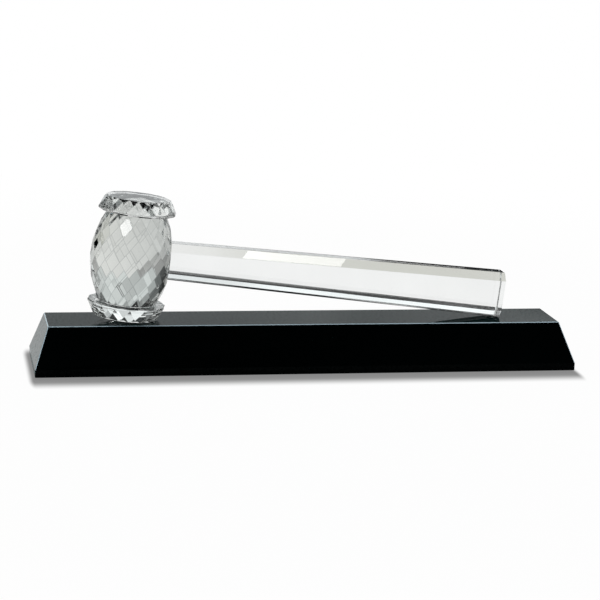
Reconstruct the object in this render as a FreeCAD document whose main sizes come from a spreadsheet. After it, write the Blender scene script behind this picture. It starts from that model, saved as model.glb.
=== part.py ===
# Ceremonial gavel: a cut-crystal gavel that lies loose on a black glass plinth.
# Millimetres, +Z up. X runs along the plinth from the head to the handle's end,
# and Y from the front to the back. The origin is the middle of the footprint,
# on the surface that the feet stand on.
import FreeCAD, Part
import Sketcher
import os
from FreeCAD import Vector

# Driving dimensions, one spreadsheet cell each
SIZES = (
    ("plinth_length", 305.0),
    ("plinth_width", 57.0),
    ("plinth_height", 26.0),
    ("plinth_rim_height", 4.3),
    ("plinth_end_inset", 7.5),
    ("plinth_side_inset", 10.7),
    ("plinth_arris", 0.35),
    ("foot_radius", 4.5),
    ("foot_height", 1.5),
    ("foot_round", 0.7),
    ("foot_end_margin", 8.0),
    ("foot_side_margin", 6.0),
    ("facet_count", 16),
    ("ring_count", 4),
    ("barrel_radius", 23.1),
    ("head_length", 67.0),
    ("flange_height", 8.15),
    ("flange_radius", 21.65),
    ("girdle_height", 1.1),
    ("table_radius", 17.7),
    ("bond_film", 0.1),
    ("seat_depth", 2.9),
    ("handle_length", 193.4),
    ("handle_width", 17.2),
    ("handle_root_height", 20.6),
    ("handle_end_height", 26.1),
    ("handle_chamfer", 4.3),
    ("handle_arris", 0.6),
    ("head_end_margin", 54.5),
    ("rest_gap", 0.1),
)
SEAM_TOLERANCE = 1e-6

# The head is ground in facets all round. Its rings of corners stand one above another,
# each turned by half a facet from the next.
HALF_FACET = "180 deg / Sizes.facet_count"
BARREL_HALF = "(Sizes.head_length / 2 - Sizes.flange_height - Sizes.bond_film)"
NECK_RADIUS = f"Sizes.barrel_radius * cos(Sizes.ring_count * {HALF_FACET})"

# The handle is bonded to a flat ground on the side of the barrel.
SEAT = "(Sizes.barrel_radius - Sizes.seat_depth)"
HANDLE_START = f"({SEAT} + Sizes.bond_film)"

# The gavel lies askew, on the rim of its lower table and on the lower edge of the
# handle's end, so its tilt follows from where those two are.
TIP_REACH = f"({HANDLE_START} + Sizes.handle_length - Sizes.handle_arris - Sizes.table_radius)"
TILT = f"atan((Sizes.head_length - Sizes.handle_end_height) / 2 / {TIP_REACH})"
HEAD_X = "(Sizes.head_end_margin - Sizes.plinth_length / 2)"
REST_HEIGHT = "Sizes.foot_height + Sizes.plinth_height + Sizes.rest_gap"
HEAD_RISE = f"Sizes.head_length / 2 * cos({TILT}) + Sizes.table_radius * sin({TILT})"


def make_sizes(doc):
    sheet = doc.addObject("Spreadsheet::Sheet", "Sizes")
    for row, (alias, value) in enumerate(SIZES, start=1):
        sheet.set(f"A{row}", alias)
        sheet.set(f"B{row}", str(value))
        sheet.setAlias(f"B{row}", alias)
    doc.recompute()
    return sheet


def origin_plane(body, role):
    return next(plane for plane in body.Origin.OriginFeatures if plane.Role == role)


def edges_where(feature, test):
    numbered = enumerate(feature.Shape.Edges, start=1)
    return [f"Edge{number}" for number, edge in numbered if test(edge)]


def lies_at(edge, axis, place):
    places = [getattr(vertex.Point, axis) for vertex in edge.Vertexes]
    return all(abs(found - place) < SEAM_TOLERANCE for found in places)


# Sketches


def new_sketch(body, name, role):
    sketch = body.newObject("Sketcher::SketchObject", name)
    sketch.AttachmentSupport = [(origin_plane(body, role), "")]
    sketch.MapMode = "FlatFace"
    return sketch


def size_sketch(sketch, name, formula, kind, *where):
    sketch.addConstraint(Sketcher.Constraint(kind, *where, 1.0))
    sketch.renameConstraint(sketch.ConstraintCount - 1, name)
    sketch.setExpression(f"Constraints.{name}", formula)


def add_outline(sketch, corner_shares):
    # Closes a four-sided outline through corners that its sizes then move.
    corners = [Vector(x, y, 0) for x, y in corner_shares]
    for side, corner in enumerate(corners):
        sketch.addGeometry(Part.LineSegment(corner, corners[side - 3]))
    for side in range(4):
        sketch.addConstraint(Sketcher.Constraint("Coincident", side, 2, (side + 1) % 4, 1))


def rectangle(body, name, width, height):
    # A rectangle about the origin, seen from above.
    sketch = new_sketch(body, name, "XY_Plane")
    add_outline(sketch, ((-1, -1), (1, -1), (1, 1), (-1, 1)))
    for side, direction in enumerate(("Horizontal", "Vertical") * 2):
        sketch.addConstraint(Sketcher.Constraint(direction, side))
    sketch.addConstraint(Sketcher.Constraint("Symmetric", 0, 1, 2, 1, -1, 1))
    size_sketch(sketch, "width", width, "DistanceX", 0, 1, 0, 2)
    size_sketch(sketch, "height", height, "DistanceY", 1, 1, 1, 2)
    return sketch


def taper(body, name, length, root_height, end_height):
    # The side of a bar that lies along X and changes height evenly.
    sketch = new_sketch(body, name, "XZ_Plane")
    add_outline(sketch, ((0, -1), (1, -1), (1, 1), (0, 1)))
    sketch.addConstraint(Sketcher.Constraint("Symmetric", 1, 1, 1, 2, -1))
    sketch.addConstraint(Sketcher.Constraint("Symmetric", 3, 1, 3, 2, -1))
    sketch.addConstraint(Sketcher.Constraint("PointOnObject", 3, 1, -2))
    size_sketch(sketch, "length", length, "DistanceX", 0, 1, 0, 2)
    size_sketch(sketch, "end_height", end_height, "DistanceY", 1, 1, 1, 2)
    size_sketch(sketch, "root_height", root_height, "DistanceY", 3, 2, 3, 1)
    return sketch


def circle(body, name, radius):
    sketch = new_sketch(body, name, "XY_Plane")
    sketch.addGeometry(Part.Circle(Vector(0, 0, 0), Vector(0, 0, 1), 1.0))
    sketch.addConstraint(Sketcher.Constraint("Coincident", 0, 3, -1, 1))
    size_sketch(sketch, "radius", radius, "Radius", 0)
    return sketch


# Body features


def pad(body, profile, length, side_type="One side"):
    feature = body.newObject("PartDesign::Pad", "Pad")
    feature.Profile = profile
    feature.SideType = side_type
    feature.setExpression("Length", length)
    body.Document.recompute()
    return feature


def frustum(body, foot, top, low, high):
    # A four-sided frustum, foot and top being its sizes in X and Y. A wedge runs along
    # its own Y, so it is stood up.
    wedge = body.newObject("PartDesign::AdditiveWedge", "Frustum")
    wedge.Placement = FreeCAD.Placement(Vector(), FreeCAD.Rotation(Vector(1, 0, 0), 90))
    spans = (("X", foot[0]), ("Z", foot[1]), ("X2", top[0]), ("Z2", top[1]))
    for name, span in spans:
        wedge.setExpression(f"{name}min", f"-({span}) / 2")
        wedge.setExpression(f"{name}max", f"({span}) / 2")
    wedge.setExpression("Ymin", low)
    wedge.setExpression("Ymax", high)
    body.Document.recompute()
    return wedge


def dress(body, kind, feature, edges, amount, size):
    dressed = body.newObject(f"PartDesign::{kind}", kind)
    dressed.Base = (feature, edges)
    dressed.setExpression(amount, size)
    body.Document.recompute()
    return dressed


def make_body(doc, label):
    body = doc.addObject("PartDesign::Body", "Body")
    body.Label = label
    return body


# Plinth and feet


def make_plinth(doc, sheet):
    # A block with a low upright rim, four sloping sides and a flat top.
    body = make_body(doc, "plinth")
    foot = ("Sizes.plinth_length", "Sizes.plinth_width")
    top = (f"{foot[0]} - 2 * Sizes.plinth_end_inset", f"{foot[1]} - 2 * Sizes.plinth_side_inset")
    pad(body, rectangle(body, "Footprint", *foot), "Sizes.plinth_rim_height")
    slopes = frustum(body, foot, top, "Sizes.plinth_rim_height", "Sizes.plinth_height")
    rim_height = sheet.plinth_rim_height
    corners = edges_where(slopes, lambda edge: not lies_at(edge, "z", rim_height))
    dress(body, "Chamfer", slopes, corners, "Size", "Sizes.plinth_arris")
    body.setExpression("Placement.Base.z", "Sizes.foot_height")


def make_foot(doc, label, side_x, side_y):
    # A clear stick-on bumper with a rounded lower edge.
    body = make_body(doc, label)
    disc = pad(body, circle(body, "Disc", "Sizes.foot_radius"), "Sizes.foot_height")
    lower = edges_where(disc, lambda edge: lies_at(edge, "z", 0))
    dress(body, "Fillet", disc, lower, "Radius", "Sizes.foot_round")
    along = "(Sizes.plinth_length / 2 - Sizes.foot_end_margin - Sizes.foot_radius)"
    across = "(Sizes.plinth_width / 2 - Sizes.foot_side_margin - Sizes.foot_radius)"
    body.setExpression("Placement.Base.x", f"{side_x} * {along}")
    body.setExpression("Placement.Base.y", f"{side_y} * {across}")


def make_feet(doc):
    for end, side_x in (("head", -1), ("tip", 1)):
        for side, side_y in (("front", -1), ("back", 1)):
            make_foot(doc, f"foot_{end}_{side}", side_x, side_y)


# Gavel


def make_gavel_frame(doc):
    # The middle of the head as it lies: X runs along the handle and Z up the head.
    frame = doc.addObject("App::Placement", "GavelFrame")
    centre = f"vector({HEAD_X}; 0; {REST_HEIGHT} + {HEAD_RISE})"
    frame.setExpression("Placement", f"placement({centre}; rotation(vector(0; 1; 0); {TILT}))")


def place_in_gavel(piece, label, along="0", up="0", turned="0"):
    piece.Label = label
    local = f"placement(vector({along}; 0; {up}); rotation(vector(1; 0; 0); {turned}))"
    piece.setExpression("Placement", f"GavelFrame.Placement * {local}")


def polygon(doc, radius, height, turn):
    outline = doc.addObject("Part::RegularPolygon", "Outline")
    outline.setExpression("Polygon", "Sizes.facet_count")
    outline.setExpression("Circumradius", radius)
    outline.setExpression("Placement.Base.z", height)
    outline.setExpression("Placement.Rotation.Angle", turn)
    return outline


def facet_row(doc, low, high, turn):
    # One row of facets is a frustum with as many sides: low and high are its ends,
    # each a corner radius and a height.
    row = doc.addObject("Part::Loft", "FacetRow")
    row.Sections = [polygon(doc, *low, turn), polygon(doc, *high, turn)]
    row.Solid = True
    row.Ruled = True
    row.Linearize = True
    return row


def prism(doc, radius, height):
    solid = doc.addObject("Part::Prism", "Prism")
    solid.setExpression("Polygon", "Sizes.facet_count")
    solid.setExpression("Circumradius", radius)
    solid.setExpression("Height", height)
    return solid


def common(doc, rows):
    shared = doc.addObject("Part::MultiCommon", "Facets")
    shared.Shapes = rows
    return shared


def barrel_row(doc, ring):
    # The corners of the net lie on rings whose radius falls as the cosine of half a
    # facet times the ring's number, at even heights. That makes every diamond flat: its
    # plane leans on two corners of its own ring and on one of each ring beside it.
    angle = f"{ring} * {HALF_FACET}"
    lean = f"sin({angle}) * tan({HALF_FACET})"
    ends = []
    for end in (-1, 1):
        steps = f"({end} * Sizes.ring_count - {ring})"
        radius = f"Sizes.barrel_radius * (cos({angle}) - {steps} * {lean})"
        ends.append((radius, f"{end} * {BARREL_HALF}"))
    return facet_row(doc, *ends, f"{ring % 2} * {HALF_FACET}")


def make_barrel(doc, sheet):
    # What all the rows share is a barrel covered in diamonds. The flat for the handle
    # is ground off its side.
    rings = int(sheet.ring_count)
    rows = [barrel_row(doc, ring) for ring in range(-rings, rings + 1)]
    grinder = doc.addObject("Part::Box", "Grinder")
    grinder.setExpression("Length", "Sizes.seat_depth")
    grinder.setExpression("Width", "2 * Sizes.barrel_radius")
    grinder.setExpression("Height", f"2 * {BARREL_HALF}")
    grinder.setExpression("Placement.Base.x", SEAT)
    grinder.setExpression("Placement.Base.y", "-Sizes.barrel_radius")
    grinder.setExpression("Placement.Base.z", f"-{BARREL_HALF}")
    barrel = doc.addObject("Part::Cut", "Barrel")
    barrel.Base = common(doc, rows)
    barrel.Tool = grinder
    place_in_gavel(barrel, "head_barrel")


def make_flange(doc, label, up, turned):
    # A flat table, a bevel of triangles over kites over triangles, and an upright
    # girdle. The corners between the two rows of triangles stand out just far enough
    # for the kites to be flat.
    bevel = "(Sizes.flange_height - Sizes.girdle_height)"
    middle = f"((Sizes.table_radius + Sizes.flange_radius) / 2 / cos({HALF_FACET}) ^ 2)"
    kite_slope = f"((Sizes.flange_radius - Sizes.table_radius) / {bevel})"
    kite_foot = f"(Sizes.flange_radius + {kite_slope} * Sizes.girdle_height) / cos({HALF_FACET})"
    upper_slope = f"(({middle} - Sizes.table_radius) * 2 / {bevel})"
    upper_foot = f"Sizes.table_radius + {upper_slope} * Sizes.flange_height"
    lower_slope = f"((Sizes.flange_radius - {middle}) * 2 / {bevel})"
    lower_foot = f"Sizes.flange_radius + {lower_slope} * Sizes.girdle_height"
    lower_head = f"Sizes.flange_radius - {lower_slope} * {bevel}"
    height = "Sizes.flange_height"
    rows = [
        prism(doc, "Sizes.flange_radius", height),
        facet_row(doc, (lower_foot, "0"), (lower_head, height), "0"),
        facet_row(doc, (kite_foot, "0"), (f"Sizes.table_radius / cos({HALF_FACET})", height), HALF_FACET),
        facet_row(doc, (upper_foot, "0"), ("Sizes.table_radius", height), "0"),
    ]
    place_in_gavel(common(doc, rows), label, up=up, turned=turned)


def make_bar(doc, label, start, length, end_height):
    # A bar with its four long edges chamfered, from the handle's root section.
    body = make_body(doc, label)
    side = taper(body, "Side", length, "Sizes.handle_root_height", end_height)
    bar = pad(body, side, "Sizes.handle_width", "Symmetric")
    reach = bar.Shape.BoundBox.XMax
    long_edges = edges_where(bar, lambda edge: not lies_at(edge, "x", 0) and not lies_at(edge, "x", reach))
    bar = dress(body, "Chamfer", bar, long_edges, "Size", "Sizes.handle_chamfer")
    place_in_gavel(body, label, along=start)
    return body, bar, edges_where(bar, lambda edge: lies_at(edge, "x", reach))


def make_handle(doc):
    # The handle grows taller towards its free end, whose edge is lightly broken.
    size = ("Sizes.handle_length", "Sizes.handle_end_height")
    body, bar, end_edges = make_bar(doc, "handle", HANDLE_START, *size)
    dress(body, "Chamfer", bar, end_edges, "Size", "Sizes.handle_arris")


def make_bonds(doc):
    # Films of clear adhesive that join the head's three pieces and the handle.
    neck = NECK_RADIUS
    place_in_gavel(prism(doc, neck, "Sizes.bond_film"), "crown_bond", up=BARREL_HALF)
    sole_up = f"-{BARREL_HALF}"
    place_in_gavel(prism(doc, neck, "Sizes.bond_film"), "sole_bond", up=sole_up, turned="180")
    make_bar(doc, "handle_bond", SEAT, "Sizes.bond_film", "Sizes.handle_root_height")


def check(doc, labels):
    for item in doc.Objects:
        if "Invalid" in item.State or "Error" in item.State:
            raise RuntimeError(f"{item.Label} failed: {item.State}")
    for label in labels:
        shape = doc.getObjectsByLabel(label)[0].Shape
        if shape.isNull() or not shape.isValid() or len(shape.Solids) != 1:
            raise RuntimeError(f"{label} is not one valid solid")


def export(doc, labels):
    os.makedirs("parts", exist_ok=True)
    for label in labels:
        shape = doc.getObjectsByLabel(label)[0].Shape
        shape.exportStep(f"parts/{label}.step")
        print(f"{label}: {len(shape.Faces)} faces, {shape.Volume:.1f} mm3")


def main():
    doc = FreeCAD.newDocument("CeremonialGavel")
    sheet = make_sizes(doc)
    make_plinth(doc, sheet)
    make_feet(doc)
    make_gavel_frame(doc)
    make_barrel(doc, sheet)
    flange_foot = f"({BARREL_HALF} + Sizes.bond_film)"
    make_flange(doc, "crown_flange", flange_foot, "0")
    make_flange(doc, "sole_flange", f"-{flange_foot}", "180")
    make_handle(doc)
    make_bonds(doc)
    doc.recompute()
    feet = [f"foot_{end}_{side}" for end in ("head", "tip") for side in ("front", "back")]
    gavel = ["head_barrel", "crown_flange", "sole_flange", "handle"]
    bonds = ["crown_bond", "sole_bond", "handle_bond"]
    labels = ["plinth"] + feet + gavel + bonds
    check(doc, labels)
    export(doc, labels)


main()
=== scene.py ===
# Ceremonial gavel: a cut-crystal gavel that lies on a black glass plinth
import math

import bmesh
import bpy
from bpy.props import FloatProperty, FloatVectorProperty, IntProperty, PointerProperty
from bpy.types import Operator, Panel, PropertyGroup
from mathutils import Matrix, Vector


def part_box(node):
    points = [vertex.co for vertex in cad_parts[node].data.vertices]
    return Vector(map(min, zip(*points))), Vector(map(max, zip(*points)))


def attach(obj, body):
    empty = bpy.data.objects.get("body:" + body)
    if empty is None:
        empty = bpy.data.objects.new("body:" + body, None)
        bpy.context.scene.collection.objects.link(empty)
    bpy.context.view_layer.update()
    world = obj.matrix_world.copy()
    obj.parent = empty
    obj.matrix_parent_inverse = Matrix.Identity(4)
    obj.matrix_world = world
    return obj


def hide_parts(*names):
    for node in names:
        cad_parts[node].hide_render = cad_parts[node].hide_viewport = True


bl_info = {
    "name": "Ceremonial gavel",
    "version": (1, 0, 0),
    "blender": (4, 5, 0),
    "location": "3D View > Sidebar > Gavel",
    "description": "Cuts the crystal gavel, finishes its plinth and sets its studio",
    "category": "Object",
}

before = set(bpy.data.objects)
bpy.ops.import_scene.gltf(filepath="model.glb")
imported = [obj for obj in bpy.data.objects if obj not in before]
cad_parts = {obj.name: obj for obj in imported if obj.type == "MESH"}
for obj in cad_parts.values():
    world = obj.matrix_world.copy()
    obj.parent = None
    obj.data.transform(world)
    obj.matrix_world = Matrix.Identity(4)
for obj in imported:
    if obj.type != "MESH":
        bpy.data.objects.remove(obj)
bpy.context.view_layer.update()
MM = 0.001
# Material slots of the crystal pieces, after the crystal itself in slot 0
JOINT_SLOT = 1
EDGE_SLOT = 2
SEAM_SLOT = 3
# Material slots of the handle and of the plinth
STRIP_SLOT = 2
ARRIS_SLOT = 1
# What counts as one flat facet, as the same plane and as the same height
ONE_FACET = math.radians(0.5)
SAME_NORMAL = 0.999
SAME_PLANE = 1e-5
SAME_HEIGHT = 1e-6
MERGE_DISTANCE = 0.001 * MM
# Edges sharper than this are polished: between two facets, and on the handle
FACET_EDGE = math.radians(4)
HANDLE_EDGE = math.radians(20)


# Sizes and colours that a user would change


class CutSizes(PropertyGroup):
    facets: IntProperty(
        name="Facets round", description="Facets in one row round the head", default=16, min=6)
    rings: IntProperty(
        name="Rings", description="Rings of corners above the barrel's middle", default=4, min=1)
    barrel_radius: FloatProperty(
        name="Barrel radius", description="Out to the corners at the barrel's middle",
        default=23.1 * MM, unit="LENGTH", precision=4)
    head_length: FloatProperty(
        name="Head length", description="From table to table", default=67 * MM, unit="LENGTH", precision=4)
    flange_height: FloatProperty(
        name="Flange height", description="From a flange's table to its flat back",
        default=8.15 * MM, unit="LENGTH", precision=4)
    flange_radius: FloatProperty(
        name="Flange radius", description="Out to the corners of a flange's girdle",
        default=21.65 * MM, unit="LENGTH", precision=4)
    girdle_height: FloatProperty(
        name="Girdle height", description="The upright band round a flange",
        default=1.1 * MM, unit="LENGTH", precision=4)
    table_radius: FloatProperty(
        name="Table radius", description="Out to the corners of a flange's flat table",
        default=17.7 * MM, unit="LENGTH", precision=4)
    kite_share: FloatProperty(
        name="Kite share", description="Height of the kites' side corners, as a share of the bevel",
        default=0.8, min=0.05, max=0.95, subtype="FACTOR")
    seam_width: FloatProperty(
        name="Seam width", description="Width of the broken edge at the barrel's two necks",
        default=0.35 * MM, unit="LENGTH", precision=5)
    rim_width: FloatProperty(
        name="Rim width", description="Width of the broken edge round the crown's back",
        default=1 * MM, unit="LENGTH", precision=4)
    sole_rim_width: FloatProperty(
        name="Sole rim width", description="Width of the broken edge round the sole's back",
        default=0.45 * MM, unit="LENGTH", precision=5)
    bond_film: FloatProperty(
        name="Bond film", description="Thickness of the clear adhesive between two pieces",
        default=0.1 * MM, unit="LENGTH", precision=5)
    seat_depth: FloatProperty(
        name="Seat depth", description="How far the flat for the handle is ground into the barrel",
        default=2.9 * MM, unit="LENGTH", precision=4)
    edge_polish: FloatProperty(
        name="Edge polish", description="Width of the polished edge between two facets",
        default=0.17 * MM, unit="LENGTH", precision=5)


class HandleSizes(PropertyGroup):
    length: FloatProperty(
        name="Length", description="From the barrel's flat to the free end",
        default=193.4 * MM, unit="LENGTH", precision=4)
    width: FloatProperty(
        name="Width", description="Across the two upright sides",
        default=17.2 * MM, unit="LENGTH", precision=4)
    root_height: FloatProperty(
        name="Root height", description="Height at the barrel",
        default=20.6 * MM, unit="LENGTH", precision=4)
    end_height: FloatProperty(
        name="End height", description="Height at the free end",
        default=26.1 * MM, unit="LENGTH", precision=4)
    chamfer: FloatProperty(
        name="Chamfer", description="Leg of the long chamfers",
        default=4.3 * MM, unit="LENGTH", precision=4)
    edge_polish: FloatProperty(
        name="Edge polish", description="Width of the polished long edges",
        default=0.25 * MM, unit="LENGTH", precision=5)
    # Width of the strip of painted shade along the two bottom edges
    dark_strip: FloatProperty(
        name="Dark strip", description="Width of the ground strip along the two bottom edges",
        default=0.55 * MM, unit="LENGTH", precision=5)
    arris: FloatProperty(
        name="Arris", description="Width of the broken edge round the free end",
        default=0.6 * MM, unit="LENGTH", precision=4)


class Finishes(PropertyGroup):
    barrel_crystal: FloatVectorProperty(
        name="Barrel crystal", description="Colour of light through the thick barrel",
        subtype="COLOR", size=4, min=0, max=1, default=(0.82, 0.835, 0.8, 1))
    # Painted shade: the darker colour that the barrel takes on towards the handle's seat
    barrel_painted_shade: FloatVectorProperty(
        name="Barrel shade", description="Colour of light through the barrel near the handle's seat",
        subtype="COLOR", size=4, min=0, max=1, default=(0.56, 0.585, 0.57, 1))
    facet_spread: FloatProperty(
        name="Facet spread", description="How much the facets differ in tone",
        default=0.16, subtype="FACTOR")
    # Painted shade: the polished edges between facets pass less light, so dark lines run along the net
    facet_edge_shade: FloatVectorProperty(
        name="Facet edges", description="Colour of light through the polished edges",
        subtype="COLOR", size=4, min=0, max=1, default=(0.4, 0.42, 0.41, 1))
    seam: FloatVectorProperty(
        name="Seam", description="Colour of the adhesive line round a neck",
        subtype="COLOR", size=4, min=0, max=1, default=(0.02, 0.025, 0.025, 1))
    flange_crystal: FloatVectorProperty(
        name="Flange crystal", description="Colour of light through a flange",
        subtype="COLOR", size=4, min=0, max=1, default=(0.99, 0.995, 0.99, 1))
    # Painted shade: a darker copy of the flange crystal for the lower flange, near the black plinth
    sole_shaded_crystal: FloatVectorProperty(
        name="Sole crystal", description="Colour of light through the lower flange, near the black plinth",
        subtype="COLOR", size=4, min=0, max=1, default=(0.92, 0.935, 0.92, 1))
    handle_crystal: FloatVectorProperty(
        name="Handle crystal", description="Colour of light through the thin handle",
        subtype="COLOR", size=4, min=0, max=1, default=(0.9, 0.91, 0.905, 1))
    # Painted shade: the near-black colour of the strips along the handle's bottom edges
    painted_shade_strip: FloatVectorProperty(
        name="Ground strip", description="Colour of light through the handle's ground strips",
        subtype="COLOR", size=4, min=0, max=1, default=(0.01, 0.013, 0.015, 1))
    crystal_ior: FloatProperty(
        name="Crystal index", description="Refractive index of the crystal",
        default=1.52, min=1, max=2)
    black_glass: FloatVectorProperty(
        name="Black glass", description="Colour of the plinth",
        subtype="COLOR", size=4, min=0, max=1, default=(0.0002, 0.0003, 0.0003, 1))
    # Painted highlight: the pale blue colour of the plinth's upper edges
    arris: FloatVectorProperty(
        name="Arris", description="Colour of the plinth's broken edges",
        subtype="COLOR", size=4, min=0, max=1, default=(0.5, 0.64, 0.73, 1))
    # Faces narrower than this are the plinth's edge faces, which carry the painted highlight
    plinth_arris: FloatProperty(
        name="Plinth arris", description="Faces narrower than this are the plinth's ground edges",
        default=1 * MM, unit="LENGTH", precision=5)
    bumper: FloatVectorProperty(
        name="Bumper", description="Colour of the clear feet",
        subtype="COLOR", size=4, min=0, max=1, default=(0.78, 0.8, 0.8, 1))


class StudioSizes(PropertyGroup):
    lens: FloatProperty(name="Lens", description="Focal length in millimetres", default=120)
    camera_place: FloatVectorProperty(
        name="Camera place", description="Where the camera stands", subtype="XYZ", size=3,
        default=(-212.7 * MM, -1083.7 * MM, 275.7 * MM))
    yaw: FloatProperty(
        name="Yaw", description="Turn from +Y", subtype="ANGLE", default=math.radians(-10.98))
    pitch: FloatProperty(
        name="Pitch", description="Downward tilt", subtype="ANGLE", default=math.radians(12.18))
    roll: FloatProperty(
        name="Roll", description="Tilt of the picture", subtype="ANGLE", default=math.radians(-1.93))
    floor_size: FloatProperty(
        name="Floor size", description="Side of the floor", default=12, unit="LENGTH")
    sky: FloatVectorProperty(
        name="Sky", description="Colour of the studio above the floor",
        subtype="COLOR", size=4, min=0, max=1, default=(0.95, 0.99, 1, 1))
    back_wall: FloatProperty(
        name="Back wall", description="Brightness of the white wall behind", default=1.0, min=0)
    right_wall: FloatProperty(
        name="Right wall", description="Brightness of the wall on the right", default=0.6, min=0)
    front_wall: FloatProperty(
        name="Front wall", description="Brightness of the dim side that the camera stands on",
        default=0.1, min=0)
    left_wall: FloatProperty(
        name="Left wall", description="Brightness of the wall on the left", default=0.2, min=0)
    wall_top: FloatProperty(
        name="Wall top", description="How high the walls are lit", subtype="ANGLE",
        default=math.radians(21))
    wall_edge: FloatProperty(
        name="Wall edge", description="Softness of the walls' upper edge", default=0.04, min=0)
    gap_level: FloatProperty(
        name="Gap", description="Light from the dark gap between walls and ceiling", default=0.04, min=0)
    ceiling: FloatProperty(
        name="Ceiling", description="Light that the ceiling adds straight above", default=0.25, min=0)
    ceiling_foot: FloatProperty(
        name="Ceiling foot", description="Height at which the ceiling begins", subtype="ANGLE",
        default=math.radians(40))
    fall_off: FloatProperty(
        name="Fall-off", description="How much mirrors and glass see the floor darken further out",
        default=0.55, subtype="FACTOR")
    shadow_front: FloatProperty(
        name="Shadow front", description="How far the plinth's shadow reaches in front and behind",
        default=20 * MM, unit="LENGTH", precision=4)
    shadow_side: FloatProperty(
        name="Shadow side", description="How far the plinth's shadow reaches at its ends",
        default=4.2 * MM, unit="LENGTH", precision=4)
    shadow_depth: FloatProperty(
        name="Shadow depth", description="How dark the shadow is at the plinth's foot",
        default=0.74, subtype="FACTOR")
    shade_behind: FloatProperty(
        name="Shade behind", description="How dark mirrors and glass see the floor behind the plinth",
        default=0.29, subtype="FACTOR")
    sweep_share: FloatProperty(
        name="Sweep share", description="How much of the floor's brightness is the white sweep's own",
        default=0.96, subtype="FACTOR")


# Shader building


def new_material(name):
    material = bpy.data.materials.new(name)
    material.use_nodes = True
    nodes = material.node_tree.nodes
    nodes.clear()
    output = nodes.new("ShaderNodeOutputMaterial")
    shader = nodes.new("ShaderNodeBsdfPrincipled")
    material.node_tree.links.new(shader.outputs[0], output.inputs["Surface"])
    return material, shader


def link(material, source, target):
    material.node_tree.links.new(source, target)


def set_inputs(node, values):
    for name, value in values.items():
        node.inputs[name].default_value = value


def coordinates(tree, kind):
    return tree.nodes.new("ShaderNodeTexCoord").outputs[kind]


def split_axes(tree, place):
    split = tree.nodes.new("ShaderNodeSeparateXYZ")
    tree.links.new(place, split.inputs[0])
    return split.outputs


def object_noise(material, scale, detail, roughness=0.5):
    noise = material.node_tree.nodes.new("ShaderNodeTexNoise")
    set_inputs(noise, {"Scale": scale, "Detail": detail, "Roughness": roughness})
    link(material, coordinates(material.node_tree, "Object"), noise.inputs["Vector"])
    return noise.outputs["Fac"]


def to_range(material, value, low, high, from_low=0.0, from_high=1.0):
    remap = material.node_tree.nodes.new("ShaderNodeMapRange")
    set_inputs(remap, {"From Min": from_low, "From Max": from_high, "To Min": low, "To Max": high})
    link(material, value, remap.inputs["Value"])
    return remap.outputs["Result"]


def feed(tree, sockets, values):
    # Links each value that is another node's output, and sets each that is a number or colour.
    for socket, value in zip(sockets, values):
        if isinstance(value, bpy.types.NodeSocket):
            tree.links.new(value, socket)
        else:
            socket.default_value = value


def principled(material):
    return next(node for node in material.node_tree.nodes if node.bl_idname == "ShaderNodeBsdfPrincipled")


def mix_colours(material, share, first, second):
    mix = material.node_tree.nodes.new("ShaderNodeMix")
    mix.data_type = "RGBA"
    ends = [socket for socket in mix.inputs if socket.name in "AB" and socket.type == "RGBA"]
    feed(material.node_tree, ends, (first, second))
    link(material, share, mix.inputs[0])
    return next(socket for socket in mix.outputs if socket.type == "RGBA")


def dimmed(colour, share):
    return [part * share for part in colour]


def make_crystal(finishes, name, colour):
    # The tint wanders by a few parts in a hundred, as it does in cast crystal.
    material, shader = new_material(name)
    noise = object_noise(material, scale=45, detail=3)
    cloud = to_range(material, noise, low=0, high=1, from_low=0.3, from_high=0.7)
    deeper = dimmed(colour, 0.96)
    link(material, mix_colours(material, cloud, colour, deeper), shader.inputs["Base Color"])
    set_inputs(shader, {"Transmission Weight": 1, "IOR": finishes.crystal_ior, "Roughness": 0})
    return material


def make_barrel_crystal(finishes):
    # Painted shade: the colour darkens slowly across the barrel towards the handle's seat. No two facets
    # are quite alike.
    material = make_crystal(finishes, "barrel_crystal", finishes.barrel_crystal)
    tree, shader = material.node_tree, principled(material)
    axes = split_axes(tree, coordinates(tree, "Object"))
    low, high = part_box("head_barrel")
    across = to_range(material, axes["X"], low=0, high=1, from_low=low.x, from_high=high.x)
    colours = finishes.barrel_crystal, finishes.barrel_painted_shade
    palest = mix_colours(material, across, *colours)
    dimmer = (dimmed(colour, 1 - finishes.facet_spread) for colour in colours)
    darkest = mix_colours(material, across, *dimmer)
    tone = tree.nodes.new("ShaderNodeAttribute")
    tone.attribute_name = "facet_tone"
    link(material, mix_colours(material, tone.outputs["Fac"], palest, darkest), shader.inputs["Base Color"])
    return material


def make_seam(finishes):
    # The adhesive shows as a dark line, broken where it wets the edge.
    material, shader = new_material("adhesive_seam")
    set_inputs(shader, {"Roughness": 0.2, "Specular IOR Level": 0.1, "IOR": finishes.crystal_ior})
    noise = object_noise(material, scale=120, detail=1)
    wetting = to_range(material, noise, low=0, high=1, from_low=0.5, from_high=0.57)
    link(material, wetting, shader.inputs["Transmission Weight"])
    colour = mix_colours(material, wetting, finishes.seam, finishes.flange_crystal)
    link(material, colour, shader.inputs["Base Color"])
    return material


def make_painted_shade_strip(finishes):
    # Painted shade: a narrow, nearly black, matt strip along the handle's bottom edges, where a dark line
    # shows.
    material, shader = new_material("painted_shade_strip")
    shader.inputs["Specular IOR Level"].default_value = 0.1
    grain = object_noise(material, scale=1500, detail=2)
    link(material, to_range(material, grain, low=0.3, high=0.5), shader.inputs["Roughness"])
    paler = dimmed(finishes.painted_shade_strip, 2)
    link(material, mix_colours(material, grain, finishes.painted_shade_strip, paler), shader.inputs["Base Color"])
    return material


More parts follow.
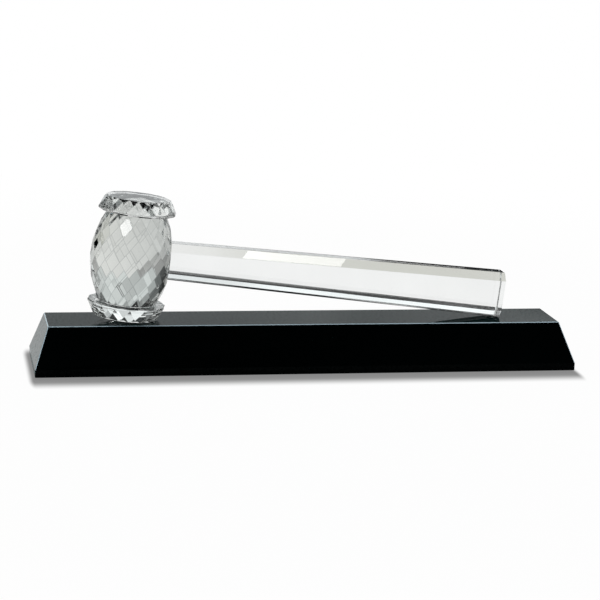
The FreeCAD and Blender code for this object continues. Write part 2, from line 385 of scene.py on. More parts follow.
def make_joint():
    # Crystal wetted by adhesive of its own index: light crosses without a bend.
    material, shader = new_material("bonded_crystal")
    noise = object_noise(material, scale=90, detail=2)
    film = to_range(material, noise, low=0, high=1, from_low=0.4, from_high=0.7)
    colour = mix_colours(material, film, (1, 1, 1, 1), (0.97, 0.98, 0.975, 1))
    link(material, colour, shader.inputs["Base Color"])
    set_inputs(shader, {"Transmission Weight": 1, "IOR": 1, "Roughness": 0})
    return material


def make_black_glass(finishes):
    # The low index gives its weak mirror, and the sheen the lighter top seen at a low angle.
    material, shader = new_material("black_glass")
    set_inputs(shader, {
        "Base Color": finishes.black_glass, "IOR": 1.112, "Specular Tint": (0.25, 0.3, 0.3, 1),
        "Sheen Weight": 0.05, "Sheen Roughness": 0.4, "Sheen Tint": (0.1, 1, 1, 1)})
    noise = object_noise(material, scale=900, detail=3)
    haze = to_range(material, noise, low=0.0, high=0.03, from_low=0.35, from_high=0.75)
    link(material, haze, shader.inputs["Roughness"])
    noise = object_noise(material, scale=800, detail=1, roughness=0.8)
    grain = to_range(material, noise, low=0.1, high=0.9, from_low=0.3, from_high=0.7)
    link(material, grain, shader.inputs["Specular IOR Level"])
    return material


def make_arris(finishes):
    # Painted highlight: a pale blue colour on the plinth's upper edges, greyer than the polished faces,
    # over a fine grain of roughness.
    material, shader = new_material("arris_painted_highlight")
    set_inputs(shader, {"IOR": 2.2, "Specular Tint": (0.75, 0.93, 1, 1)})
    grain = object_noise(material, scale=2500, detail=2)
    link(material, to_range(material, grain, low=0.06, high=0.16), shader.inputs["Roughness"])
    darker = dimmed(finishes.arris, 0.7)
    link(material, mix_colours(material, grain, darker, finishes.arris), shader.inputs["Base Color"])
    return material


def make_bumper(finishes):
    material, shader = new_material("clear_bumper")
    set_inputs(shader, {"Base Color": finishes.bumper, "Transmission Weight": 0.7, "IOR": 1.48})
    skin = object_noise(material, scale=700, detail=2)
    link(material, to_range(material, skin, low=0.25, high=0.4), shader.inputs["Roughness"])
    return material


# The gavel's own frame


def gavel_matrix():
    # The head's middle lies half way between the two flanges, and its axis is square to
    # their tables, whose triangles are their largest.
    low = sum(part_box("sole_flange"), Vector()) / 2
    high = sum(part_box("crown_flange"), Vector()) / 2
    table = max(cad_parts["crown_flange"].data.polygons, key=lambda face: face.area)
    axis = table.normal if table.normal.z > 0 else -table.normal
    tilt = math.atan2(axis.x, axis.z)
    return Matrix.Translation((low + high) / 2) @ Matrix.Rotation(tilt, 4, "Y")


def barrel_half(cut):
    return cut.head_length / 2 - cut.flange_height - cut.bond_film


def neck_radius(cut):
    return cut.barrel_radius * math.cos(cut.rings * math.pi / cut.facets)


# Geometry Nodes for the cut pieces


def new_tree(name, inputs):
    tree = bpy.data.node_groups.new(name, "GeometryNodeTree")
    for label, kind in inputs:
        tree.interface.new_socket(name=label, in_out="INPUT", socket_type=kind)
    tree.interface.new_socket(name="Geometry", in_out="OUTPUT", socket_type="NodeSocketGeometry")
    return tree, tree.nodes.new("NodeGroupInput"), tree.nodes.new("NodeGroupOutput")


def math_node(tree, operation, *values):
    node = tree.nodes.new("ShaderNodeMath")
    node.operation = operation
    feed(tree, node.inputs, values)
    return node.outputs[0]


def vector_node(tree, x=0, y=0, z=0):
    node = tree.nodes.new("ShaderNodeCombineXYZ")
    feed(tree, node.inputs, (x, y, z))
    return node.outputs[0]


def ring_of_corners(tree, count, radius):
    ring = tree.nodes.new("GeometryNodeMeshCircle")
    ring.fill_type = "NONE"
    tree.links.new(count, ring.inputs["Vertices"])
    tree.links.new(radius, ring.inputs["Radius"])
    return ring.outputs["Mesh"]


def hull_to_output(tree, mesh, material, output):
    # The facets are the flat faces of the hull over all the corners.
    realize = tree.nodes.new("GeometryNodeRealizeInstances")
    hull = tree.nodes.new("GeometryNodeConvexHull")
    finish = tree.nodes.new("GeometryNodeSetMaterial")
    tree.links.new(mesh, realize.inputs[0])
    tree.links.new(realize.outputs[0], hull.inputs[0])
    tree.links.new(hull.outputs[0], finish.inputs["Geometry"])
    tree.links.new(material, finish.inputs["Material"])
    tree.links.new(finish.outputs[0], output.inputs[0])


def barrel_tree():
    # Rings of corners at even heights, each turned by half a facet, with radii that
    # fall as a cosine. So every diamond between them is flat.
    tree, given, output = new_tree("Diamond barrel", (
        ("Facets", "NodeSocketInt"), ("Rings", "NodeSocketInt"), ("Radius", "NodeSocketFloat"),
        ("Half length", "NodeSocketFloat"), ("Material", "NodeSocketMaterial")))
    facets, rings, radius, half, material = (given.outputs[index] for index in range(5))
    column = tree.nodes.new("GeometryNodeMeshLine")
    count = math_node(tree, "ADD", math_node(tree, "MULTIPLY", rings, 2), 1)
    tree.links.new(count, column.inputs["Count"])
    foot = math_node(tree, "MULTIPLY", half, -1)
    rise = math_node(tree, "DIVIDE", half, rings)
    tree.links.new(vector_node(tree, z=foot), column.inputs["Start Location"])
    tree.links.new(vector_node(tree, z=rise), column.inputs["Offset"])
    number = tree.nodes.new("GeometryNodeInputIndex").outputs[0]
    ring = math_node(tree, "SUBTRACT", number, rings)
    half_facet = math_node(tree, "DIVIDE", math.pi, facets)
    share = math_node(tree, "COSINE", math_node(tree, "MULTIPLY", ring, half_facet))
    turn = math_node(tree, "MULTIPLY", math_node(tree, "FLOORED_MODULO", ring, 2), half_facet)
    stack = tree.nodes.new("GeometryNodeInstanceOnPoints")
    tree.links.new(column.outputs[0], stack.inputs["Points"])
    tree.links.new(ring_of_corners(tree, facets, radius), stack.inputs["Instance"])
    tree.links.new(vector_node(tree, z=turn), stack.inputs["Rotation"])
    tree.links.new(vector_node(tree, share, share, share), stack.inputs["Scale"])
    hull_to_output(tree, stack.outputs[0], material, output)
    return tree


def placed_ring(tree, facets, radius, height, turn=0):
    move = tree.nodes.new("GeometryNodeTransform")
    tree.links.new(ring_of_corners(tree, facets, radius), move.inputs["Geometry"])
    tree.links.new(vector_node(tree, z=height), move.inputs["Translation"])
    tree.links.new(vector_node(tree, z=turn), move.inputs["Rotation"])
    return move.outputs[0]


def flange_tree():
    # A table over a bevel of triangles, kites and triangles, over an upright girdle.
    tree, given, output = new_tree("Cut flange", (
        ("Facets", "NodeSocketInt"), ("Table radius", "NodeSocketFloat"),
        ("Girdle radius", "NodeSocketFloat"), ("Height", "NodeSocketFloat"),
        ("Girdle height", "NodeSocketFloat"), ("Kite share", "NodeSocketFloat"),
        ("Material", "NodeSocketMaterial")))
    facets, table, girdle, height, band, share, material = (given.outputs[index] for index in range(7))
    half_facet = math_node(tree, "DIVIDE", math.pi, facets)
    inward = math_node(tree, "MULTIPLY", math_node(tree, "SUBTRACT", girdle, table), share)
    flat_radius = math_node(tree, "SUBTRACT", girdle, inward)
    middle = math_node(tree, "DIVIDE", flat_radius, math_node(tree, "COSINE", half_facet))
    bevel_height = math_node(tree, "SUBTRACT", height, band)
    middle_height = math_node(tree, "MULTIPLY_ADD", bevel_height, share, band)
    join = tree.nodes.new("GeometryNodeJoinGeometry")
    for ring in (
        placed_ring(tree, facets, girdle, 0),
        placed_ring(tree, facets, girdle, band),
        placed_ring(tree, facets, middle, middle_height, half_facet),
        placed_ring(tree, facets, table, height),
    ):
        tree.links.new(ring, join.inputs[0])
    hull_to_output(tree, join.outputs[0], material, output)
    return tree


def new_piece(name):
    piece = bpy.data.objects.new(name, bpy.data.meshes.new(name))
    bpy.context.collection.objects.link(piece)
    return piece


def run_tree(name, tree, values):
    # Evaluates a tree on an empty mesh and keeps the result as a plain mesh.
    carrier = new_piece(name)
    modifier = carrier.modifiers.new("Cut", "NODES")
    modifier.node_group = tree
    for item in tree.interface.items_tree:
        if item.in_out == "INPUT":
            modifier[item.identifier] = values[item.name]
    carrier.update_tag()
    evaluated = carrier.evaluated_get(bpy.context.evaluated_depsgraph_get())
    mesh = bpy.data.meshes.new_from_object(evaluated)
    carrier.modifiers.clear()
    carrier.data = mesh
    return carrier


# Meshes


def flat_faces(bm, normal, place):
    return [face for face in bm.faces if face.normal.dot(normal) > SAME_NORMAL
            and abs(face.calc_center_median().dot(normal) - place) < SAME_PLANE]


def bond_patch(bm, normal, place, outline):
    # Opens a flat face round an outline and closes the outline with a bonded face.
    faces = flat_faces(bm, normal, place)
    around = {edge for face in faces for edge in face.edges
              if sum(other in faces for other in edge.link_faces) == 1}
    bmesh.ops.delete(bm, geom=faces, context="FACES_KEEP_BOUNDARY")
    inner = [bm.verts.new(point) for point in outline]
    patch = bm.faces.new(inner)
    patch.normal_update()
    if patch.normal.dot(normal) < 0:
        patch.normal_flip()
    edges = list(around) + list(patch.edges)
    rim = bmesh.ops.triangle_fill(bm, edges=edges, use_dissolve=False, normal=normal)
    for face in rim["geom"]:
        if isinstance(face, bmesh.types.BMFace):
            face.material_index = 0
    patch.material_index = JOINT_SLOT


def neck_outline(cut, height):
    step, radius = 2 * math.pi / cut.facets, neck_radius(cut)
    return [Vector((radius * math.cos(corner * step), radius * math.sin(corner * step), height))
            for corner in range(cut.facets)]


# The usual numbers of a sine hash, which give neighbouring facets unlike tones
TONE_COLUMN = 12.9898
TONE_ROW = 78.233
TONE_SPREAD = 43758.5453


def tone_facets(bm, cut):
    # A fixed spread of tones, by each facet's place in the net.
    layer = bm.faces.layers.float.new("facet_tone")
    turn_step = math.pi / cut.facets
    rise_step = barrel_half(cut) / cut.rings
    for face in bm.faces:
        middle = face.calc_center_median()
        column = round(math.atan2(middle.y, middle.x) / turn_step)
        row = round(middle.z / rise_step)
        face[layer] = (math.sin(TONE_COLUMN * column + TONE_ROW * row) * TONE_SPREAD) % 1


def break_rims(bm, height, width, chosen=lambda place: True):
    # Breaks the edges at a height, where a ground line shows.
    rims = [edge for edge in bm.edges if all(
        abs(abs(corner.co.z) - height) < SAME_HEIGHT and chosen(corner.co) for corner in edge.verts)]
    broken = bmesh.ops.bevel(bm, geom=rims, offset=width, offset_type="WIDTH", segments=1, affect="EDGES")
    for face in broken["faces"]:
        face.material_index = SEAM_SLOT


def bar_section(handle, place, height):
    # The eight corners of the handle's section, half above and half below its axis.
    side, top = handle.width / 2, height / 2
    inner_side, inner_top = side - handle.chamfer, top - handle.chamfer
    quarter = ((side, inner_top), (inner_side, top))
    corners = list(quarter)
    corners += [(-y, z) for y, z in reversed(quarter)]
    corners += [(-y, -z) for y, z in quarter]
    corners += [(y, -z) for y, z in reversed(quarter)]
    return [Vector((place, y, z)) for y, z in corners]


# Sides of the handle's section with its strips, counted from its first corner
STRIP_SIDES = 5, 7


def with_edge_strips(section, handle):
    # Adds a corner to each lower chamfer, a little above the bottom face. The narrow strips below them
    # carry a painted dark line of shade.
    share = handle.dark_strip / (handle.chamfer * math.sqrt(2))
    first = section[5].lerp(section[4], share)
    second = section[6].lerp(section[7], share)
    return section[:5] + [first] + section[5:7] + [second] + section[7:]


def finish_mesh(piece, bm, matrix, edge_width, least_angle, edge_slot=-1):
    bmesh.ops.recalc_face_normals(bm, faces=bm.faces)
    bmesh.ops.transform(bm, matrix=matrix, verts=bm.verts)
    bm.to_mesh(piece.data)
    bm.free()
    bevel = piece.modifiers.new("Polished edges", "BEVEL")
    bevel.width = edge_width
    bevel.segments = 2
    bevel.limit_method = "ANGLE"
    bevel.angle_limit = least_angle
    bevel.harden_normals = False
    bevel.material = edge_slot


def put_on(piece, body, slot, *nodes):
    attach(piece, body)
    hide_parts(*nodes)


def give(piece, *materials):
    piece.data.materials.clear()
    for material in materials:
        piece.data.materials.append(material)


def give_named(piece, *names):
    give(piece, *(bpy.data.materials[name] for name in names))


# Operators, one for each piece or group of like pieces


class GAVEL_OT_cut_barrel(Operator):
    """Cuts the barrel of the head in diamonds and grinds the handle's seat"""
    bl_idname = "gavel.cut_barrel"
    bl_label = "Cut the barrel"

    def execute(self, context):
        cut, handle = context.scene.gavel_cut, context.scene.gavel_handle
        half = barrel_half(cut)
        piece = run_tree("barrel_cut", barrel_tree(), {
            "Facets": cut.facets, "Rings": cut.rings, "Radius": cut.barrel_radius,
            "Half length": half, "Material": bpy.data.materials["barrel_crystal"]})
        bm = bmesh.new()
        bm.from_mesh(piece.data)
        bmesh.ops.dissolve_limit(bm, angle_limit=ONE_FACET, verts=bm.verts, edges=bm.edges)
        seat = cut.barrel_radius - cut.seat_depth
        everything = list(bm.verts) + list(bm.edges) + list(bm.faces)
        sliced = bmesh.ops.bisect_plane(
            bm, geom=everything, plane_co=(seat, 0, 0), plane_no=(1, 0, 0), clear_outer=True)
        rim = [item for item in sliced["geom_cut"] if isinstance(item, bmesh.types.BMEdge)]
        bmesh.ops.contextual_create(bm, geom=rim)
        bm.normal_update()
        for face in bm.faces:
            face.material_index = 0
        bond_patch(bm, Vector((1, 0, 0)), seat, bar_section(handle, seat, handle.root_height))
        for face in flat_faces(bm, Vector((0, 0, 1)), half) + flat_faces(bm, Vector((0, 0, -1)), half):
            face.material_index = JOINT_SLOT
        tone_facets(bm, cut)
        break_rims(bm, half, cut.seam_width)
        give_named(piece, "barrel_crystal", "bonded_crystal", "edge_crystal", "adhesive_seam")
        finish_mesh(piece, bm, gavel_matrix(), cut.edge_polish, FACET_EDGE, EDGE_SLOT)
        put_on(piece, "gavel", "crystal", "head_barrel")
        return {"FINISHED"}


# Corners of a flange's back that lie further out than this share of the neck's radius are
# on its outer rim
RIM_START = 1.1
# A flange's facets are smaller than the barrel's, and its polished edges narrower
FLANGE_POLISH = 0.7


class GAVEL_OT_cut_flanges(Operator):
    """Cuts the two flanges of the head, the lower one being the upper one turned over"""
    bl_idname = "gavel.cut_flanges"
    bl_label = "Cut the flanges"

    def execute(self, context):
        cut = context.scene.gavel_cut
        tree = flange_tree()
        lift = Matrix.Translation((0, 0, barrel_half(cut) + cut.bond_film))
        for name, node, crystal, turn, rim in (
            ("crown_cut", "crown_flange", "flange_crystal", 0, cut.rim_width),
            ("sole_cut", "sole_flange", "sole_shaded_crystal", math.pi, cut.sole_rim_width),
        ):
            piece = run_tree(name, tree, {
                "Facets": cut.facets, "Table radius": cut.table_radius,
                "Girdle radius": cut.flange_radius, "Height": cut.flange_height,
                "Girdle height": cut.girdle_height, "Kite share": cut.kite_share,
                "Material": bpy.data.materials[crystal]})
            bm = bmesh.new()
            bm.from_mesh(piece.data)
            bmesh.ops.dissolve_limit(bm, angle_limit=ONE_FACET, verts=bm.verts, edges=bm.edges)
            bm.normal_update()
            for face in bm.faces:
                face.material_index = 0
            bond_patch(bm, Vector((0, 0, -1)), 0, neck_outline(cut, 0))
            rim_start = neck_radius(cut) * RIM_START
            break_rims(bm, 0, rim, lambda place: math.hypot(place.x, place.y) > rim_start)
            give_named(piece, crystal, "bonded_crystal", "edge_crystal", "adhesive_seam")
            matrix = gavel_matrix() @ Matrix.Rotation(turn, 4, "X") @ lift
            finish_mesh(piece, bm, matrix, cut.edge_polish * FLANGE_POLISH, FACET_EDGE)
            put_on(piece, "gavel", "crystal", node)
        return {"FINISHED"}


class GAVEL_OT_grind_handle(Operator):
    """Grinds the tapered eight-sided handle"""
    bl_idname = "gavel.grind_handle"
    bl_label = "Grind the handle"

    def execute(self, context):
        cut, handle = context.scene.gavel_cut, context.scene.gavel_handle
        start = cut.barrel_radius - cut.seat_depth + cut.bond_film
        piece = new_piece("handle_bar")
        bm = bmesh.new()
        rings = []
        for place, height in ((start, handle.root_height), (start + handle.length, handle.end_height)):
            section = with_edge_strips(bar_section(handle, place, height), handle)
            rings.append([bm.verts.new(point) for point in section])
        root, end = rings
        bonded = bm.faces.new(root)
        bonded.material_index = JOINT_SLOT
        end_face = bm.faces.new(list(reversed(end)))
        for corner in range(len(root)):
            after = (corner + 1) % len(root)
            side = bm.faces.new((root[corner], end[corner], end[after], root[after]))
            if corner in STRIP_SIDES:
                side.material_index = STRIP_SLOT
        bmesh.ops.bevel(
            bm, geom=list(end_face.edges), offset=handle.arris, offset_type="OFFSET",
            segments=1, affect="EDGES")
        give_named(piece, "handle_crystal", "bonded_crystal", "painted_shade_strip")
        finish_mesh(piece, bm, gavel_matrix(), handle.edge_polish, HANDLE_EDGE)
        put_on(piece, "gavel", "crystal", "handle")
        return {"FINISHED"}


class GAVEL_OT_fill_bonds(Operator):
    """Gives the three films of adhesive their clear finish"""
    bl_idname = "gavel.fill_bonds"
    bl_label = "Fill the bonds"

    def execute(self, context):
        for node in ("crown_bond", "sole_bond", "handle_bond"):
            give_named(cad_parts[node], "bonded_crystal")
        return {"FINISHED"}


# The plinth's edge faces, which carry the painted highlight, are all longer than this
SHORTEST_ARRIS = 20 * MM


class GAVEL_OT_polish_plinth(Operator):
    """Polishes the black glass plinth and gives its upper edge faces a painted highlight"""
    bl_idname = "gavel.polish_plinth"
    bl_label = "Polish the plinth"

    def execute(self, context):
        finishes = context.scene.gavel_finishes
        piece = new_piece("plinth_polished")
        bm = bmesh.new()
        bm.from_mesh(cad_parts["plinth"].data)
        bmesh.ops.remove_doubles(bm, verts=bm.verts, dist=MERGE_DISTANCE)
        bmesh.ops.dissolve_limit(bm, angle_limit=ONE_FACET, verts=bm.verts, edges=bm.edges)
        give(piece, make_black_glass(finishes), make_arris(finishes))
        for face in bm.faces:
            longest = max(edge.calc_length() for edge in face.edges)
            narrow = longest > SHORTEST_ARRIS and face.calc_area() < longest * finishes.plinth_arris
            # Only the edge faces that look upwards get the painted highlight
            if narrow and face.normal.z > 0:
                face.material_index = ARRIS_SLOT
        bm.to_mesh(piece.data)
        bm.free()
        put_on(piece, "plinth", "black_glass", "plinth")
        return {"FINISHED"}


class GAVEL_OT_fit_feet(Operator):
    """Gives the four clear feet their soft finish"""
    bl_idname = "gavel.fit_feet"
    bl_label = "Fit the feet"

    def execute(self, context):
        bumper = make_bumper(context.scene.gavel_finishes)
        for node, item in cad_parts.items():
            if node.startswith("foot_"):
                give(item, bumper)
        return {"FINISHED"}


# The thin edges between facets are polished less than the facets
EDGE_ROUGHNESS = 0.1


class GAVEL_OT_mix_crystal(Operator):
    """Makes the materials that the crystal pieces share"""
    bl_idname = "gavel.mix_crystal"
    bl_label = "Mix the crystal"

    def execute(self, context):
        finishes = context.scene.gavel_finishes
        make_barrel_crystal(finishes)
        # The edges between facets get a darker crystal, a painted shade along the net's lines
        edges = make_crystal(finishes, "edge_crystal", finishes.facet_edge_shade)
        principled(edges).inputs["Roughness"].default_value = EDGE_ROUGHNESS
        make_painted_shade_strip(finishes)
        make_seam(finishes)
        make_crystal(finishes, "flange_crystal", finishes.flange_crystal)
        # The lower flange's darker copy of the flange crystal is a painted shade
        make_crystal(finishes, "sole_shaded_crystal", finishes.sole_shaded_crystal)
        make_crystal(finishes, "handle_crystal", finishes.handle_crystal)
        make_joint()
        return {"FINISHED"}


# Studio


def smooth_step(tree, value, low, high):
    step = tree.nodes.new("ShaderNodeMapRange")
    step.interpolation_type = "SMOOTHSTEP"
    set_inputs(step, {"From Min": low, "From Max": high})
    tree.links.new(value, step.inputs["Value"])
    return step.outputs["Result"]


# About where the picture's sides meet the floor, on the left, in front and on the right: the
# share of x and of y that measures how far out a point lies, and where the fall-off starts
# and ends
PICTURE_SIDES = (
    (-1, 0.043, 0.17, 0.31),
    (0, -1, 0.354, 0.654),
    (1, -0.354, 0.171, 0.471),
)
# The shade behind the plinth: its middle along x, how far its even part reaches from there
# and from the plinth's axis, and how far it then fades
SHADE_MIDDLE = 0.07
SHADE_REACH = 0.03, 0.09
SHADE_FADE = 0.135, 0.06
# It starts at the plinth's axis and is full this far behind it
SHADE_START = 0.03
SHADE_COLOUR = (1, 1, 0.93, 1)
# The plinth's shadow is even this far out, as a share of its reach
SHADOW_CORE = 0.12
# Where the floor's own brightness gives way to the white sweep's alone
SWEEP_START = 0.25
SWEEP_END = 0.7


def add_up(tree, values):
    total = values[0]
    for value in values[1:]:
        total = math_node(tree, "ADD", total, value)
    return total


def distance_past(tree, spans):
    # How far a point lies past a rounded rectangle: 0 at its edges and 1 at its reach.
    squares = []
    for along, edge, reach in spans:
        gap = math_node(tree, "MAXIMUM", math_node(tree, "SUBTRACT", along, edge), 0)
        past = math_node(tree, "DIVIDE", gap, reach)
        squares.append(math_node(tree, "MULTIPLY", past, past))
    return math_node(tree, "SQRT", add_up(tree, squares))


def fall_off(tree, studio, x, y, flagged):
    # Past the sides of the picture the floor darkens, as a floor between flags does.
    level = None
    for share_x, share_y, start, end in PICTURE_SIDES:
        out = math_node(tree, "MULTIPLY_ADD", y, share_y, math_node(tree, "MULTIPLY", x, share_x))
        past = math_node(tree, "MULTIPLY", smooth_step(tree, out, start, end), flagged)
        kept = math_node(tree, "MULTIPLY_ADD", past, -studio.fall_off, 1)
        level = kept if level is None else math_node(tree, "MULTIPLY", level, kept)
    return level


def plinth_shadow(tree, studio, x, y):
    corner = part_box("plinth")[1]
    past = distance_past(tree, (
        (math_node(tree, "ABSOLUTE", x), corner.x, studio.shadow_side),
        (math_node(tree, "ABSOLUTE", y), corner.y, studio.shadow_front)))
    clear = smooth_step(tree, past, SHADOW_CORE, 1)
    return math_node(tree, "MULTIPLY_ADD", clear, studio.shadow_depth, 1 - studio.shadow_depth)


def shade_share(tree, x, y, flagged):
    off_middle = math_node(tree, "ABSOLUTE", math_node(tree, "SUBTRACT", x, SHADE_MIDDLE))
    past = distance_past(tree, tuple(zip((off_middle, y), SHADE_REACH, SHADE_FADE)))
    share = math_node(tree, "SUBTRACT", 1, smooth_step(tree, past, 0, 1))
    share = math_node(tree, "MULTIPLY", share, smooth_step(tree, y, 0, SHADE_START))
    return math_node(tree, "MULTIPLY", share, flagged)


def make_floor_material(studio):
    # The camera sees a plain white sweep with the plinth's soft shadow on it. Mirror and
    # glass rays see it too, and also the fall-off and the shade behind the plinth.
    material, shader = new_material("studio_floor")
    tree = material.node_tree
    set_inputs(shader, {
        "Base Color": (0.86, 0.86, 0.86, 1), "Roughness": 0.9, "Specular IOR Level": 0})
    place = coordinates(tree, "Object")
    axes = split_axes(tree, place)
    x, y = axes["X"], axes["Y"]
    path = tree.nodes.new("ShaderNodeLightPath")
    flagged = math_node(tree, "SUBTRACT", 1, path.outputs["Is Camera Ray"])
    level = math_node(
        tree, "MULTIPLY", fall_off(tree, studio, x, y, flagged), plinth_shadow(tree, studio, x, y))
    behind = shade_share(tree, x, y, flagged)
    shade = math_node(tree, "MULTIPLY_ADD", behind, -studio.shade_behind, 1)
    sweep = tree.nodes.new("ShaderNodeEmission")
    tree.links.new(math_node(tree, "MULTIPLY", level, shade), sweep.inputs["Strength"])
    tree.links.new(mix_colours(material, behind, (1, 1, 1, 1), SHADE_COLOUR), sweep.inputs["Color"])
    seen = math_node(tree, "MAXIMUM", path.outputs["Is Camera Ray"], path.outputs["Is Glossy Ray"])
    seen = math_node(tree, "MAXIMUM", seen, path.outputs["Is Transmission Ray"])
    away = tree.nodes.new("ShaderNodeVectorMath")
    away.operation = "LENGTH"
    tree.links.new(place, away.inputs[0])
    far = smooth_step(tree, away.outputs["Value"], SWEEP_START, SWEEP_END)
    share = math_node(tree, "MULTIPLY_ADD", far, 1 - studio.sweep_share, studio.sweep_share)
    mix = tree.nodes.new("ShaderNodeMixShader")
    tree.links.new(math_node(tree, "MULTIPLY", seen, share), mix.inputs[0])
    tree.links.new(shader.outputs[0], mix.inputs[1])
    tree.links.new(sweep.outputs[0], mix.inputs[2])
    output = next(node for node in tree.nodes if node.bl_idname == "ShaderNodeOutputMaterial")
    tree.links.new(mix.outputs[0], output.inputs["Surface"])
    return material


# Cards and flags round the object, named by where they stand: azimuth, elevation and half
# angle in degrees, and the light that each adds or takes away
CARDS = (
    ("soft box, left and high", -90, 40, 22, 0.75),
    ("card, front right", 135, 26, 12, 0.8),
    ("card, right", 80, 30, 10, 0.7),
    ("card, back right and high", 32, 60, 11, 0.5),
    ("card, back", 18, 17, 4, 0.3),
    ("flag, back left", -40, 10, 20, -0.6),
    ("flag, back middle", 4, 8, 9, -0.35),
    ("flag, back right and low", 18.5, 8, 3.5, -1.2),
    ("flag, back right", 16.5, 13, 4, -0.3),
)
# A card fades over this share of its half angle, each way
CARD_FADE = 0.3
# Lamps: where each aims, its azimuth and elevation in degrees, how far off it hangs, its
# width and height, and its radiance
LAMPS = (
    ("overhead", (0, 0, 0), (0, 90), 1.3, (1.0, 1.0), 3),
    ("key", (-0.117, -0.012, 0.08), (-142, 38), 1.5, (0.13, 0.13), 7.5),
    ("handle_light", (-0.003, 0, 0.062), (121.5, 70.5), 1.4, (0.2, 0.105), 7),
)
# Keeps the walls' shares from dividing by zero straight above
ABOVE_ONE = 1.00001


def towards(azimuth, elevation):
    # A direction from the object, with the azimuth counted from +Y towards +X.
    turn, rise = math.radians(azimuth), math.radians(elevation)
    return Vector((math.sin(turn) * math.cos(rise), math.cos(turn) * math.cos(rise), math.sin(rise)))


def set_world(scene, studio):
    world = bpy.data.worlds.new("Studio")
    scene.world = world
    world.use_nodes = True
    tree = world.node_tree
    tree.nodes.clear()
    output = tree.nodes.new("ShaderNodeOutputWorld")
    place = coordinates(tree, "Generated")
    axes = split_axes(tree, place)
    height = axes["Z"]
    flat = math_node(tree, "SUBTRACT", ABOVE_ONE, math_node(tree, "MULTIPLY", height, height))
    walls = []
    for axis, sign, level in (
            ("Y", 1, studio.back_wall), ("X", 1, studio.right_wall),
            ("Y", -1, studio.front_wall), ("X", -1, studio.left_wall)):
        along = math_node(tree, "MAXIMUM", math_node(tree, "MULTIPLY", axes[axis], sign), 0)
        share = math_node(tree, "DIVIDE", math_node(tree, "MULTIPLY", along, along), flat)
        walls.append(math_node(tree, "MULTIPLY", share, level))
    top, soft = math.sin(studio.wall_top), studio.wall_edge
    below = math_node(tree, "SUBTRACT", 1, smooth_step(tree, height, top - soft, top + soft))
    above = smooth_step(tree, height, math.sin(studio.ceiling_foot), 1)
    total = math_node(tree, "MULTIPLY_ADD", add_up(tree, walls), below, studio.gap_level)
    total = math_node(tree, "MULTIPLY_ADD", above, studio.ceiling, total)
    for label, azimuth, elevation, half, level in CARDS:
        near = tree.nodes.new("ShaderNodeVectorMath")
        near.operation = "DOT_PRODUCT"
        near.label = label
        tree.links.new(place, near.inputs[0])
        near.inputs[1].default_value = towards(azimuth, elevation)
        outer = math.cos(math.radians(half * (1 + CARD_FADE)))
        inner = math.cos(math.radians(half * (1 - CARD_FADE)))
        card = smooth_step(tree, near.outputs["Value"], outer, inner)
        total = math_node(tree, "MULTIPLY_ADD", card, level, total)
    light = tree.nodes.new("ShaderNodeBackground")
    light.inputs["Color"].default_value = studio.sky
    tree.links.new(math_node(tree, "MAXIMUM", total, 0), light.inputs["Strength"])
    tree.links.new(light.outputs[0], output.inputs[0])


def add_lamp(scene, name, aim, angles, distance, size, radiance):
    direction = towards(*angles)
    lamp = bpy.data.lights.new(name, "AREA")
    lamp.shape = "RECTANGLE"
    lamp.size, lamp.size_y = size
    lamp.energy = radiance * math.pi * size[0] * size[1]
    item = bpy.data.objects.new(name, lamp)
    item.location = Vector(aim) + direction * distance
    item.rotation_euler = (-direction).to_track_quat("-Z", "Y").to_euler()
    scene.collection.objects.link(item)
    return item


# The camera's sensor in millimetres, and how far it sees in metres
SENSOR_WIDTH = 36
FARTHEST_SEEN = 50
# Light crosses many facets before it leaves the crystal
CRYSTAL_BOUNCES = 32
MIRROR_BOUNCES = 24
CLEAR_BOUNCES = 16


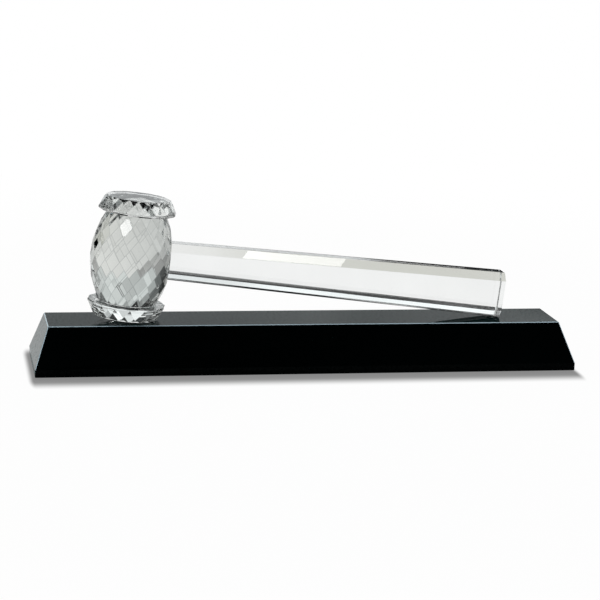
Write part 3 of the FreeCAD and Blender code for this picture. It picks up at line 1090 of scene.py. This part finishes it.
class GAVEL_OT_set_studio(Operator):
    """Lays the white floor and sets the lamps, the world and the camera"""
    bl_idname = "gavel.set_studio"
    bl_label = "Set the studio"

    def execute(self, context):
        scene, studio = context.scene, context.scene.gavel_studio
        bpy.ops.mesh.primitive_plane_add(size=studio.floor_size, location=(0, 0, 0))
        floor = context.object
        floor.name = "studio_floor"
        floor.data.materials.append(make_floor_material(studio))
        set_world(scene, studio)
        lamps = [add_lamp(scene, *lamp) for lamp in LAMPS]
        overhead = lamps[0]
        overhead.visible_glossy = False
        overhead.visible_transmission = False
        data = bpy.data.cameras.new("Camera")
        data.lens = studio.lens
        data.sensor_width = SENSOR_WIDTH
        data.clip_end = FARTHEST_SEEN
        camera = bpy.data.objects.new("Camera", data)
        scene.collection.objects.link(camera)
        turn = Matrix.Rotation(studio.yaw, 4, "Z")
        turn @= Matrix.Rotation(math.pi / 2 - studio.pitch, 4, "X")
        turn @= Matrix.Rotation(-studio.roll, 4, "Z")
        camera.matrix_world = Matrix.Translation(studio.camera_place) @ turn
        scene.camera = camera
        scene.view_settings.view_transform = "Standard"
        scene.cycles.max_bounces = CRYSTAL_BOUNCES
        scene.cycles.transmission_bounces = CRYSTAL_BOUNCES
        scene.cycles.glossy_bounces = MIRROR_BOUNCES
        scene.cycles.transparent_max_bounces = CLEAR_BOUNCES
        return {"FINISHED"}


class GAVEL_PT_sidebar(Panel):
    """Lists the steps that make the gavel"""
    bl_idname = "GAVEL_PT_sidebar"
    bl_label = "Ceremonial gavel"
    bl_space_type = "VIEW_3D"
    bl_region_type = "UI"
    bl_category = "Gavel"

    def draw(self, context):
        for step in STEPS:
            self.layout.operator(step.bl_idname)


STEPS = (
    GAVEL_OT_mix_crystal, GAVEL_OT_cut_barrel, GAVEL_OT_cut_flanges, GAVEL_OT_grind_handle,
    GAVEL_OT_fill_bonds, GAVEL_OT_polish_plinth, GAVEL_OT_fit_feet, GAVEL_OT_set_studio,
)
GROUPS = (
    ("gavel_cut", CutSizes), ("gavel_handle", HandleSizes),
    ("gavel_finishes", Finishes), ("gavel_studio", StudioSizes),
)


def register():
    for name, group in GROUPS:
        bpy.utils.register_class(group)
        setattr(bpy.types.Scene, name, PointerProperty(type=group))
    for step in STEPS:
        bpy.utils.register_class(step)
    bpy.utils.register_class(GAVEL_PT_sidebar)


def unregister():
    bpy.utils.unregister_class(GAVEL_PT_sidebar)
    for step in reversed(STEPS):
        bpy.utils.unregister_class(step)
    for name, group in reversed(GROUPS):
        delattr(bpy.types.Scene, name)
        bpy.utils.unregister_class(group)


def main():
    register()
    for step in STEPS:
        group, name = step.bl_idname.split(".")
        getattr(getattr(bpy.ops, group), name)()


if __name__ == "__main__":
    main()
